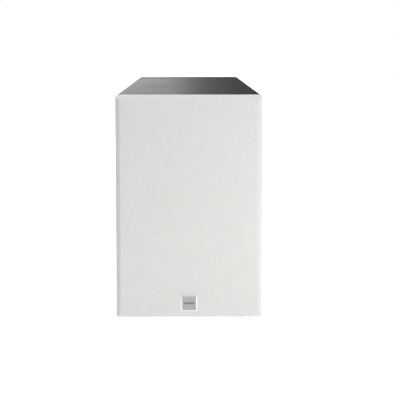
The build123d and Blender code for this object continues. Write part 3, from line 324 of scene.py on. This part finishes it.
# The badge's chamfer carries a painted highlight, brighter than its brushed face, and painted shade
# along the top.
CHAMFER_PAINTED_HIGHLIGHT, CHAMFER_PAINTED_SHADE = (0.86, 0.86, 0.86), (0.2, 0.2, 0.2)
BADGE_CENTRE_Z = (BADGE_LOW.z + BADGE_HIGH.z) / 2
CHAMFER_START = BADGE_HIGH.x - 1.15 * MM
badge_skin = SLOTS["badge_metal"]
badge_spot = badge_skin.node("SeparateXYZ", {0: badge_skin.coords}).outputs
above = badge_skin.math("SUBTRACT", badge_spot[2], BADGE_CENTRE_Z)
from_middle = badge_skin.math("MAXIMUM", badge_skin.math("ABSOLUTE", badge_spot[0]),
                              badge_skin.math("ABSOLUTE", above))
on_chamfer = badge_skin.math("GREATER_THAN", from_middle, CHAMFER_START)
on_top = badge_skin.math("GREATER_THAN", above, CHAMFER_START)
# Painted highlight on the chamfer's sides and bottom, painted shade along its top.
chamfer_highlight_and_shade = badge_skin.mixed(on_top, CHAMFER_PAINTED_HIGHLIGHT, CHAMFER_PAINTED_SHADE)
badge_skin.colour(badge_skin.mixed(on_chamfer, badge_skin.tone, chamfer_highlight_and_shade))

# The cloth is painted a little darker along its lower edge: painted shade over the bottom bevel.
LOW_SHADE_FULL, LOW_SHADE_GONE, PAINTED_SHADE_TONE = 4 * MM, 7 * MM, 0.88
cloth_skin = SLOTS["grille_weave"]
cloth_height = cloth_skin.node("SeparateXYZ", {0: cloth_skin.coords}).outputs[2]
painted_low_shade = cloth_skin.ranged(cloth_height, GRILLE_LOW.z + LOW_SHADE_FULL, GRILLE_LOW.z + LOW_SHADE_GONE,
                         PAINTED_SHADE_TONE, 1.0)
cloth_skin.colour(cloth_skin.node("VectorMath", {0: cloth_skin.tone, 3: painted_low_shade},
                                  operation="SCALE").outputs[0])

for entry in frame["record"]["subparts"]:
    for held in frame["nodes"][entry["node"]].material_slots:
        held.material = SLOTS[entry["material_slot"]].material


# ------------------------------------------------------------------ mesh helpers
def piece(name, points, faces, material):
    """A smooth-shaded mesh object in the scene."""
    mesh = bpy.data.meshes.new(name)
    mesh.from_pydata([tuple(p) for p in points], [], faces)
    mesh.validate()
    mesh.update()
    mesh.materials.append(material)
    for polygon in mesh.polygons:
        polygon.use_smooth = True
    made = bpy.data.objects.new(name, mesh)
    bpy.context.scene.collection.objects.link(made)
    return made


def bands(rings, count, closed=True):
    """Quads between rings of count points; the last ring joins the first if closed."""
    faces = []
    pairs = len(rings) if closed else len(rings) - 1
    for i in range(pairs):
        low, high = rings[i], rings[(i + 1) % len(rings)]
        for k in range(count):
            n = (k + 1) % count
            faces.append((low + k, low + n, high + n, high + k))
    return faces


def turned(name, profile, centre_z, material, count):
    """A ring turned about a driver's axis from a closed outline of (radius, forward) points."""
    points = []
    for radius, forward in profile:
        for k in range(count):
            angle = math.tau * k / count
            points.append((radius * math.cos(angle), BAFFLE_FRONT - forward,
                           centre_z + radius * math.sin(angle)))
    rings = [i * count for i in range(len(profile))]
    return piece(name, points, bands(rings, count), material)


def flexes(made):
    """Bakes the piece's placement into its mesh."""
    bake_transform(made)


def rolled(line, thickness):
    """A closed outline of even thickness around an open line of (radius, forward) points."""
    sides = ([], [])
    for i, (r, f) in enumerate(line):
        before, after = line[max(i - 1, 0)], line[min(i + 1, len(line) - 1)]
        dr, df = after[0] - before[0], after[1] - before[1]
        length = math.hypot(dr, df)
        nr, nf = -df / length * thickness / 2, dr / length * thickness / 2
        sides[0].append((r + nr, f + nf))
        sides[1].append((r - nr, f - nf))
    return sides[0] + sides[1][::-1]


# ------------------------------------------------------------------ grille cloth
BEVEL = 5.4 * MM
BEVEL_DROP = 3.6 * MM
PLAN_CORNER = 3.2 * MM
SHARPEST_CORNER = 0.25 * MM
SHOULDER_ROUND, BROW_ROUND = 1.3 * MM, 3.0 * MM
CLOTH = 0.5 * MM
FOLD = 8.4 * MM
FLAT_FROM = 7 * MM
FACE_INSETS = (8, 12, 18, 27, 40, 55, 70, 85)
SIDE_STEPS, CORNER_STEPS, ARC_STEPS = 30, 8, 5


def plan_ring(inset):
    """Points round the grille's outline at an inset, each with its outward direction."""
    centre_z = (GRILLE_LOW.z + GRILLE_HIGH.z) / 2
    half_x, half_z = GRILLE_HIGH.x - inset, GRILLE_HIGH.z - centre_z - inset
    corner = max(PLAN_CORNER - inset, SHARPEST_CORNER)
    ring = []
    for quarter in range(4):
        middle = math.pi / 4 + quarter * math.pi / 2
        sx, sz = math.copysign(1, math.cos(middle)), math.copysign(1, math.sin(middle))
        cx, cz = sx * (half_x - corner), sz * (half_z - corner)
        for step in range(CORNER_STEPS + 1):
            angle = middle + (step / CORNER_STEPS - 0.5) * math.pi / 2
            direction = (math.cos(angle), math.sin(angle))
            ring.append((cx + corner * direction[0], centre_z + cz + corner * direction[1],
                         direction))
        end = ring[-1]
        following = middle + math.pi / 2
        nx, nz = math.copysign(1, math.cos(following)), math.copysign(1, math.sin(following))
        # A side faces one axis only, so the other part of its direction is a rounding rest.
        outwards = [corner * part * (abs(part) > 0.5) for part in direction]
        target = (nx * (half_x - corner) + outwards[0],
                  centre_z + nz * (half_z - corner) + outwards[1])
        for step in range(1, SIDE_STEPS):
            t = step / SIDE_STEPS
            ring.append((end[0] + (target[0] - end[0]) * t, end[1] + (target[1] - end[1]) * t,
                         direction))
    return ring


def softened(before, corner, after, radius):
    """Points of an arc that eases a corner between two straight runs of cloth."""
    towards = (before - corner).normalized(), (after - corner).normalized()
    half = towards[0].angle(towards[1]) / 2
    middle = corner + (towards[0] + towards[1]).normalized() * (radius / math.sin(half))
    ends = [corner + way * (radius / math.tan(half)) - middle for way in towards]
    return [middle + ends[0].slerp(ends[1], k / ARC_STEPS) * radius
            for k in range(ARC_STEPS + 1)]


def grille_profile():
    """(inset, y) from the fold's cut edge, round the side and the bevel, to the middle."""
    shoulder = Vector((0.0, GRILLE_FRONT + BEVEL_DROP))
    brow = Vector((BEVEL, GRILLE_FRONT))
    steps = [(FOLD, GRILLE_BACK - 0.02 * MM), (5 * MM, GRILLE_BACK), (2 * MM, GRILLE_BACK),
             (0.9 * MM, GRILLE_BACK - 0.03 * MM), (0.25 * MM, GRILLE_BACK - 0.3 * MM),
             (0.0, GRILLE_BACK - 1.0 * MM), (0.0, GRILLE_BACK - 5 * MM)]
    steps += softened(Vector((0.0, GRILLE_BACK)), shoulder, brow, SHOULDER_ROUND)
    steps.append(shoulder.lerp(brow, 0.5))
    steps += softened(shoulder, brow, Vector((2 * BEVEL, GRILLE_FRONT)), BROW_ROUND)
    steps += [(inset * MM, GRILLE_FRONT) for inset in FACE_INSETS]
    return [tuple(step) for step in steps]


def lining(line, thickness):
    """The same profile moved inwards by the cloth's thickness."""
    made = []
    for i, (inset, y) in enumerate(line):
        before, after = line[max(i - 1, 0)], line[min(i + 1, len(line) - 1)]
        along = (Vector(after) - Vector(before)).normalized()
        made.append((inset - along.y * thickness, y + along.x * thickness))
    return made


def tray(steps):
    """Rings of points along a profile, each point with its place on the cloth laid flat."""
    points, weave, rings = [], [], []
    start = next(i for i, (inset, y) in enumerate(steps)
                 if inset > FLAT_FROM and y < GRILLE_FRONT + 1 * MM)
    lengths = [0.0] * len(steps)
    for i in range(start - 1, -1, -1):
        lengths[i] = lengths[i + 1] + math.hypot(steps[i][0] - steps[i + 1][0],
                                                 steps[i][1] - steps[i + 1][1])
    for i, (inset, y) in enumerate(steps):
        rings.append(len(points))
        extra = lengths[i] - (steps[start][0] - inset) if i < start else 0.0
        for x, z, (nx, nz) in plan_ring(inset):
            points.append((x, y, z))
            weave.append((x + nx * extra, z + nz * extra, 0.0))
    return points, weave, rings


def make_cloth():
    """One closed sheet: the outside, the lining and the cut edge that joins them."""
    outer = grille_profile()
    inner = lining(outer, CLOTH)
    points, weave, rings = tray(outer)
    count = len(plan_ring(0.0))
    inner_points, inner_weave, inner_rings = tray(inner)
    offset = len(points)
    faces = bands(rings, count, closed=False)
    faces.append(tuple(range(rings[-1], rings[-1] + count)))
    back = bands([r + offset for r in inner_rings], count, closed=False)
    faces += [f[::-1] for f in back]
    faces.append(tuple(range(offset + inner_rings[-1], offset + inner_rings[-1] + count))[::-1])
    for k in range(count):
        n = (k + 1) % count
        faces.append((offset + k, offset + n, n, k))
    made = piece("grille_cloth_woven", points + inner_points, faces, SLOTS["grille_weave"].material)
    attribute = made.data.attributes.new("weave", "FLOAT_VECTOR", "POINT")
    attribute.data.foreach_set("vector", [c for w in weave + inner_weave for c in w])
    return made


cloth = make_cloth()
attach(cloth, "grille")
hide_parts("grille_cloth")

# The badge's groove is filled with grey enamel.
GROOVE_RADIUS, GROOVE_CENTRE = 1.19, 5.3
FILL_LEVELS = ((0.0, 0.395), (0.0, 0.2), (0.08, 0.12), (0.2, 0.1))
FILL_STEPS = 48
enamel = Surface("badge_enamel", (0.11, 0.11, 0.114), 0.3, fixed={"Coat Weight": 0.5})
enamel.mottle(900, 0.2).rough_from(700, 0.25, 0.4).pebble(1500, 0.01 * MM)
badge_middle = (BADGE_LOW + BADGE_HIGH) / 2
badge_face = BADGE_LOW.y
fill_points, fill_rings = [], []
for inset, y in FILL_LEVELS:
    fill_rings.append(len(fill_points))
    for k in range(FILL_STEPS):
        angle = math.tau * k / FILL_STEPS
        reach = GROOVE_RADIUS - inset
        x = math.copysign(GROOVE_CENTRE, math.cos(angle)) + reach * math.cos(angle)
        fill_points.append((badge_middle.x + x * MM, badge_face + y * MM,
                            badge_middle.z + reach * math.sin(angle) * MM))
fill_faces = bands(fill_rings, FILL_STEPS, closed=False)
fill_faces.append(tuple(range(fill_rings[-1], fill_rings[-1] + FILL_STEPS)))
fill_faces.append(tuple(range(FILL_STEPS))[::-1])
groove_fill = piece("badge_groove_fill", fill_points, fill_faces, enamel.material)
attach(groove_fill, "grille")

# ------------------------------------------------------------------ parts that flex
# Outlines are (radius, forward) in millimetres. Forward counts from the baffle's face.
ROLL_MIDDLE, ROLL_RADIUS, ROLL_STEPS, RUBBER = (51.0, 0.3), 4.9, 24, 0.6
roll = [(42.3, 0.35), (44.4, 0.35), (45.6, 0.5)]
for step in range(1, ROLL_STEPS):
    angle = math.pi * (1 - step / ROLL_STEPS)
    roll.append((ROLL_MIDDLE[0] + ROLL_RADIUS * math.cos(angle),
                 ROLL_MIDDLE[1] + ROLL_RADIUS * math.sin(angle)))
roll += [(56.4, 0.5), (57.6, 0.35), (61.4, 0.35)]
surround = turned("woofer_surround_roll", [(r * MM, f * MM) for r, f in rolled(roll, RUBBER)],
                  WOOFER_Z, SLOTS["surround_rubber"].material, count=192)
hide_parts("woofer_surround")
flexes(surround)

SPIDER_FORWARD, SPIDER_CLOTH = -30.75, 0.45
WAVES_FROM, WAVES_WIDTH, WAVE_HEIGHT, HALF_WAVES, WAVE_STEPS = 14.2, 22.6, 1.9, 5, 100
wave = [(13.0, SPIDER_FORWARD)]
for step in range(WAVE_STEPS + 1):
    t = step / WAVE_STEPS
    rise = WAVE_HEIGHT * math.sin(t * HALF_WAVES * math.pi) * (1 if t < 1 else 0)
    wave.append((WAVES_FROM + t * WAVES_WIDTH, SPIDER_FORWARD + rise))
wave += [(38.0, SPIDER_FORWARD), (41.3, SPIDER_FORWARD)]
spider = turned("woofer_spider_waves", [(r * MM, f * MM) for r, f in rolled(wave, SPIDER_CLOTH)],
                WOOFER_Z, SLOTS["spider_cloth"].material, count=96)
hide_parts("woofer_spider")
flexes(spider)

HALO_MIDDLE, HALO_RADIUS, HALO_STEPS, SILK = (14.7, -4.15), 1.8, 12, 0.26
small_roll = []
for step in range(HALO_STEPS + 1):
    angle = math.pi * (1 - step / HALO_STEPS)
    small_roll.append((HALO_MIDDLE[0] + HALO_RADIUS * math.cos(angle),
                       HALO_MIDDLE[1] + HALO_RADIUS * math.sin(angle)))
small_roll += [(17.2, HALO_MIDDLE[1]), (20.3, HALO_MIDDLE[1])]
halo = turned("tweeter_surround_roll", [(r * MM, f * MM) for r, f in rolled(small_roll, SILK)],
              TWEETER_Z, SLOTS["dome_silk"].material, count=128)
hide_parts("tweeter_surround")
flexes(halo)

# ------------------------------------------------------------------ tinsel leads
LEAD = [(7.0, 33.2, -46.3), (12.0, 24.0, -48.5), (13.0, 19.0, -40.0), (11.0, 22.0, -30.0),
        (9.5, 15.8, -22.3)]
STRAND = 0.26 * MM
STRANDS_APART = 0.32 * MM
LAY = 3.2 * MM
LEAD_STEP = 0.4 * MM


def smooth_line(points):
    """Evenly read points of the NURBS spline through a route."""
    data = bpy.data.curves.new("route", "CURVE")
    data.dimensions = "3D"
    data.resolution_u = 16
    spline = data.splines.new("NURBS")
    spline.points.add(len(points) - 1)
    for knot, place in zip(spline.points, points):
        knot.co = (*place, 1)
    spline.order_u = 3
    spline.use_endpoint_u = True
    holder = bpy.data.objects.new("route", data)
    bpy.context.scene.collection.objects.link(holder)
    bpy.context.view_layer.update()
    mesh = bpy.data.meshes.new_from_object(holder)
    line = [vertex.co.copy() for vertex in mesh.vertices]
    bpy.data.objects.remove(holder)
    bpy.data.meshes.remove(mesh)
    return line


def finer(line, step):
    """The same line read at even steps."""
    made, spare = [line[0]], 0.0
    for a, b in zip(line, line[1:]):
        length = (b - a).length
        at = step - spare
        while at <= length:
            made.append(a.lerp(b, at / length))
            at += step
        spare = length - (at - step)
    return made


def strand_tube(line, phase, radius, points, faces, thick=STRAND, sides=7):
    """One strand that winds round a line, added to a mesh's points and faces."""
    side = Vector((0, 0, 1))
    travelled, first = 0.0, len(points)
    for i, place in enumerate(line):
        ahead = (line[min(i + 1, len(line) - 1)] - line[max(i - 1, 0)]).normalized()
        side = (side - ahead * side.dot(ahead)).normalized()
        across = ahead.cross(side)
        travelled += (place - line[i - 1]).length if i else 0.0
        turn = phase + math.tau * travelled / LAY
        centre = place + (side * math.cos(turn) + across * math.sin(turn)) * radius
        for k in range(sides):
            angle = math.tau * k / sides
            points.append(centre + (side * math.cos(angle) + across * math.sin(angle)) * thick)
    count = len(line)
    faces += bands([first + i * sides for i in range(count)], sides, closed=False)
    faces.append(tuple(range(first, first + sides))[::-1])
    faces.append(tuple(range(first + (count - 1) * sides, first + count * sides)))


# Each lead is braided from three strands. It hangs from the terminal board to the cone.
lead_points, lead_faces = [], []
for side in (-1, 1):
    route = [(side * x * MM, BAFFLE_FRONT + y * MM, WOOFER_Z + z * MM) for x, y, z in LEAD]
    line = finer(smooth_line(route), LEAD_STEP)
    for strand in range(3):
        strand_tube(line, math.tau * strand / 3, STRANDS_APART, lead_points, lead_faces)
leads = piece("woofer_tinsel_braids", lead_points, lead_faces, SLOTS["tinsel"].material)
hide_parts("woofer_tinsel_leads")
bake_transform(leads)

# ------------------------------------------------------------------ inner wires
# A wire is a single strand that runs straight along its route.
WIRE = 1.1 * MM
WIRE_STEP, WIRE_SIDES = 1.0 * MM, 14
WIRE_ROUTES = [
    [(9.53, 70.1, 54.0), (9.53, 70.1, 39.0), (14.0, 49.2, 53.0), (14.0, 49.2, 32.6)],
    [(5.0, -49.8, 36.4), (5.0, -49.8, 21.5), (24.0, -36.8, 21.5), (24.0, -30.8, 46.0),
     (24.0, -18.8, 46.0), (24.0, -18.8, 32.6)],
    [(6.0, -50.8, 192.5), (6.0, -32.8, 192.5), (20.0, -8.8, 178.0), (24.0, -2.8, 58.0),
     (30.0, 23.2, 52.0), (30.0, 23.2, 32.6)],
]
for colour, side in (("red", 1), ("black", -1)):
    wire_points, wire_faces = [], []
    for route in WIRE_ROUTES:
        route = [(side * x * MM, y * MM, z * MM) for x, y, z in route]
        line = finer(smooth_line(route), WIRE_STEP)
        strand_tube(line, 0.0, 0.0, wire_points, wire_faces, WIRE, WIRE_SIDES)
    wires = piece(f"wiring_{colour}_insulation", wire_points, wire_faces,
                  SLOTS[f"wire_{colour}"].material)
    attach(wires, "cabinet")
    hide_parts(f"wiring_{colour}")

# ------------------------------------------------------------------ damping felt
PAD_STEPS = 44
PAD_LEVELS = [(0.0, 0.0), (0.04, 0.35), (0.03, 0.6), (0.08, 0.78), (0.22, 0.9), (0.5, 0.955)]
TOP_RINGS, TOP_RISE = 6, 0.965
RAGGED_EDGE, LUMP = 0.5, 0.045
SAME_PLACE = 20000
FLAT_PAD = 20 * MM


def noise_at(place):
    """Smooth noise at a place, from about -1 to 1."""
    return noise.noise(Vector(place))


def pad_islands(node):
    """The corner points of each separate felt solid, joined by shared edges."""
    mesh = node.data
    group = list(range(len(mesh.vertices)))

    def root(i):
        """The vertex that stands for the group that vertex i is in."""
        while group[i] != i:
            group[i] = group[group[i]]
            i = group[i]
        return i

    seen = {}
    for vertex in mesh.vertices:
        key = tuple(round(c * SAME_PLACE) for c in vertex.co)
        group[root(vertex.index)] = root(seen.setdefault(key, vertex.index))
    for edge in mesh.edges:
        group[root(edge.vertices[0])] = root(edge.vertices[1])
    islands = {}
    for vertex in mesh.vertices:
        islands.setdefault(root(vertex.index), []).append(vertex.co.copy())
    return list(islands.values())


def felt_pad(name, corners):
    """A soft slab between four corners on its wall and the four above them."""
    wall, free = corners
    points, rings = [], []

    def at(quad, u, v):
        """The place at shares u and v across a quad."""
        low = quad[0].lerp(quad[1], u)
        high = quad[3].lerp(quad[2], u)
        return low.lerp(high, v)

    square = ((0, 0), (1, 0), (1, 1), (0, 1), (0, 0))
    outline = []
    for (u0, v0), (u1, v1) in zip(square, square[1:]):
        for step in range(PAD_STEPS):
            t = step / PAD_STEPS
            outline.append((u0 + (u1 - u0) * t, v0 + (v1 - v0) * t))
    width = (wall[1] - wall[0]).length
    height = (wall[3] - wall[0]).length
    thick = (free[0] - wall[0]).length
    # Insets and rises are shares of the pad's thickness. The last rings close in on its middle.
    deepest = 0.45 * min(width, height) / thick
    top = PAD_LEVELS[-1][0]
    levels = PAD_LEVELS + [(top + (deepest - top) * step / TOP_RINGS, TOP_RISE)
                           for step in range(1, TOP_RINGS + 1)]
    for inset, rise in levels:
        rings.append(len(points))
        for u, v in outline:
            ragged = noise_at((u * 9 + len(name), v * 9, rise * 3)) * RAGGED_EDGE * MM * (rise > 0)
            shrink_u = (inset * thick + ragged) / width
            shrink_v = (inset * thick + ragged) / height
            u2 = min(1.0, max(0.0, 0.5 + (u - 0.5) * (1 - 2 * shrink_u)))
            v2 = min(1.0, max(0.0, 0.5 + (v - 0.5) * (1 - 2 * shrink_v)))
            lump = 1 - LUMP * (1 + noise_at((u2 * 14, v2 * 14, len(name) * 3.1))) * (rise > 0.7)
            points.append(at(wall, u2, v2).lerp(at(free, u2, v2), rise * lump))
    faces = bands(rings, len(outline), closed=False)
    faces.append(tuple(range(rings[-1], rings[-1] + len(outline))))
    faces.append(tuple(range(len(outline)))[::-1])
    made = piece(name, points, faces, SLOTS["felt"].material)
    made.data.polygons[len(faces) - 1].use_smooth = False
    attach(made, "cabinet")
    return made


def slab_corners(points):
    """Sorts a slab's eight corners into the quad on its wall and the quad that is free."""
    middle = sum(points, Vector()) / len(points)
    low, high = min(p.z for p in points), max(p.z for p in points)
    lies_flat = high - low < FLAT_PAD
    corners = {}
    for p in points:
        key = (p.y > middle.y, (p.x > middle.x) if lies_flat else (p.z > middle.z))
        rank = p.z if lies_flat else abs(p.x)
        near = corners.setdefault(key, [rank, p, rank, p])
        if rank > near[0]:
            near[0:2] = [rank, p]
        if rank < near[2]:
            near[2:4] = [rank, p]
    order = ((False, False), (True, False), (True, True), (False, True))
    return [corners[key][1] for key in order], [corners[key][3] for key in order]


for number, island in enumerate(pad_islands(frame["nodes"]["damping_pads"])):
    felt_pad(f"damping_felt_{number}", slab_corners(island))
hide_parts("damping_pads")

# ------------------------------------------------------------------ floor, light, camera
# The floor is a lit table, brighter outwards, so that it runs into the white behind it.
FLOOR_REACH = 2.4
GLOW_SPAN, NEAR_GLOW = (0.35, 1.2), 0.82
floor_surface = Surface("pale_floor", (0.93, 0.93, 0.925), 0.85, fixed={
    "Emission Color": (1, 1, 1, 1), "Specular IOR Level": 0.1})
floor_surface.mottle(3, 0.01).pebble(60, 0.05 * MM)
outward = floor_surface.node("VectorMath", {0: floor_surface.coords},
                             operation="LENGTH").outputs["Value"]
glow = floor_surface.ranged(outward, *GLOW_SPAN, NEAR_GLOW, 1.0)
floor_surface.links.new(glow, floor_surface.bsdf.inputs["Emission Strength"])
floor = piece("studio_floor", [(x * FLOOR_REACH, y * FLOOR_REACH, 0)
                               for x, y in ((-1, -1), (1, -1), (1, 1), (-1, 1))],
              [(0, 1, 2, 3)], floor_surface.material)


def softbox(name, place, target, size, power):
    """A rectangular lamp that faces the target and that the camera does not see."""
    lamp = bpy.data.lights.new(name, "AREA")
    lamp.shape = "RECTANGLE"
    lamp.size, lamp.size_y = size
    lamp.energy = power
    made = bpy.data.objects.new(name, lamp)
    made.location = place
    made.rotation_euler = (Vector(target) - Vector(place)).to_track_quat("-Z", "Y").to_euler()
    made.visible_camera = False
    bpy.context.scene.collection.objects.link(made)
    return made


MIDDLE = (0, 0, 0.15)
softbox("key", (0.68, -0.6, 0.05), MIDDLE, (0.4, 0.5), 5.6)
softbox("overhead", (0.0, -0.2, 1.9), MIDDLE, (1.4, 1.4), 39)
softbox("sheen", (-0.456, 1.3, 0.62), (-0.456, 0, 0.28), (0.9, 0.55), 2.65)
rear = softbox("rear", (0.5, 2.2, 1.4), MIDDLE, (1.2, 1.2), 12)
rear.visible_glossy = False

# The camera sees plain white. The pieces see a dim dome, brighter above and in front.
world = bpy.data.worlds.new("studio")
bpy.context.scene.world = world
world.use_nodes = True
wn, wl = world.node_tree.nodes, world.node_tree.links
backdrop = wn["Background"]
backdrop.inputs["Color"].default_value = (1, 1, 1, 1)
backdrop.inputs["Strength"].default_value = 1.0
dome = wn.new("ShaderNodeBackground")
way = wn.new("ShaderNodeSeparateXYZ")
wl.new(wn.new("ShaderNodeTexCoord").outputs["Generated"], way.inputs[0])
lean = wn.new("ShaderNodeMath")
lean.operation = "SUBTRACT"
wl.new(way.outputs["Z"], lean.inputs[0])
wl.new(way.outputs["Y"], lean.inputs[1])
level = wn.new("ShaderNodeMapRange")
wl.new(lean.outputs[0], level.inputs["Value"])
for key, value in (("From Min", -0.7), ("From Max", 0.9), ("To Min", 0.04), ("To Max", 0.12)):
    level.inputs[key].default_value = value
wl.new(level.outputs[0], dome.inputs["Strength"])
choice = wn.new("ShaderNodeMixShader")
wl.new(wn.new("ShaderNodeLightPath").outputs["Is Camera Ray"], choice.inputs[0])
wl.new(dome.outputs[0], choice.inputs[1])
wl.new(backdrop.outputs[0], choice.inputs[2])
wl.new(choice.outputs[0], wn["World Output"].inputs["Surface"])

# The camera stands far off with a long lens and looks a little down.
ASIDE, AWAY, ABOVE = -0.0059, 2.804, 0.3756
LOOKS_DOWN, LOOKS_ASIDE = 10.238, -0.403
camera = bpy.data.cameras.new("camera")
camera.lens = 203.6
camera.sensor_width = 36.0
camera.clip_end = 60
viewer = bpy.data.objects.new("camera", camera)
viewer.location = (ASIDE, GRILLE_FRONT - AWAY, CABINET_TOP + ABOVE)
viewer.rotation_euler = (math.radians(90 - LOOKS_DOWN), 0, math.radians(LOOKS_ASIDE))
bpy.context.scene.collection.objects.link(viewer)
bpy.context.scene.camera = viewer
bpy.context.scene.view_settings.view_transform = "Standard"
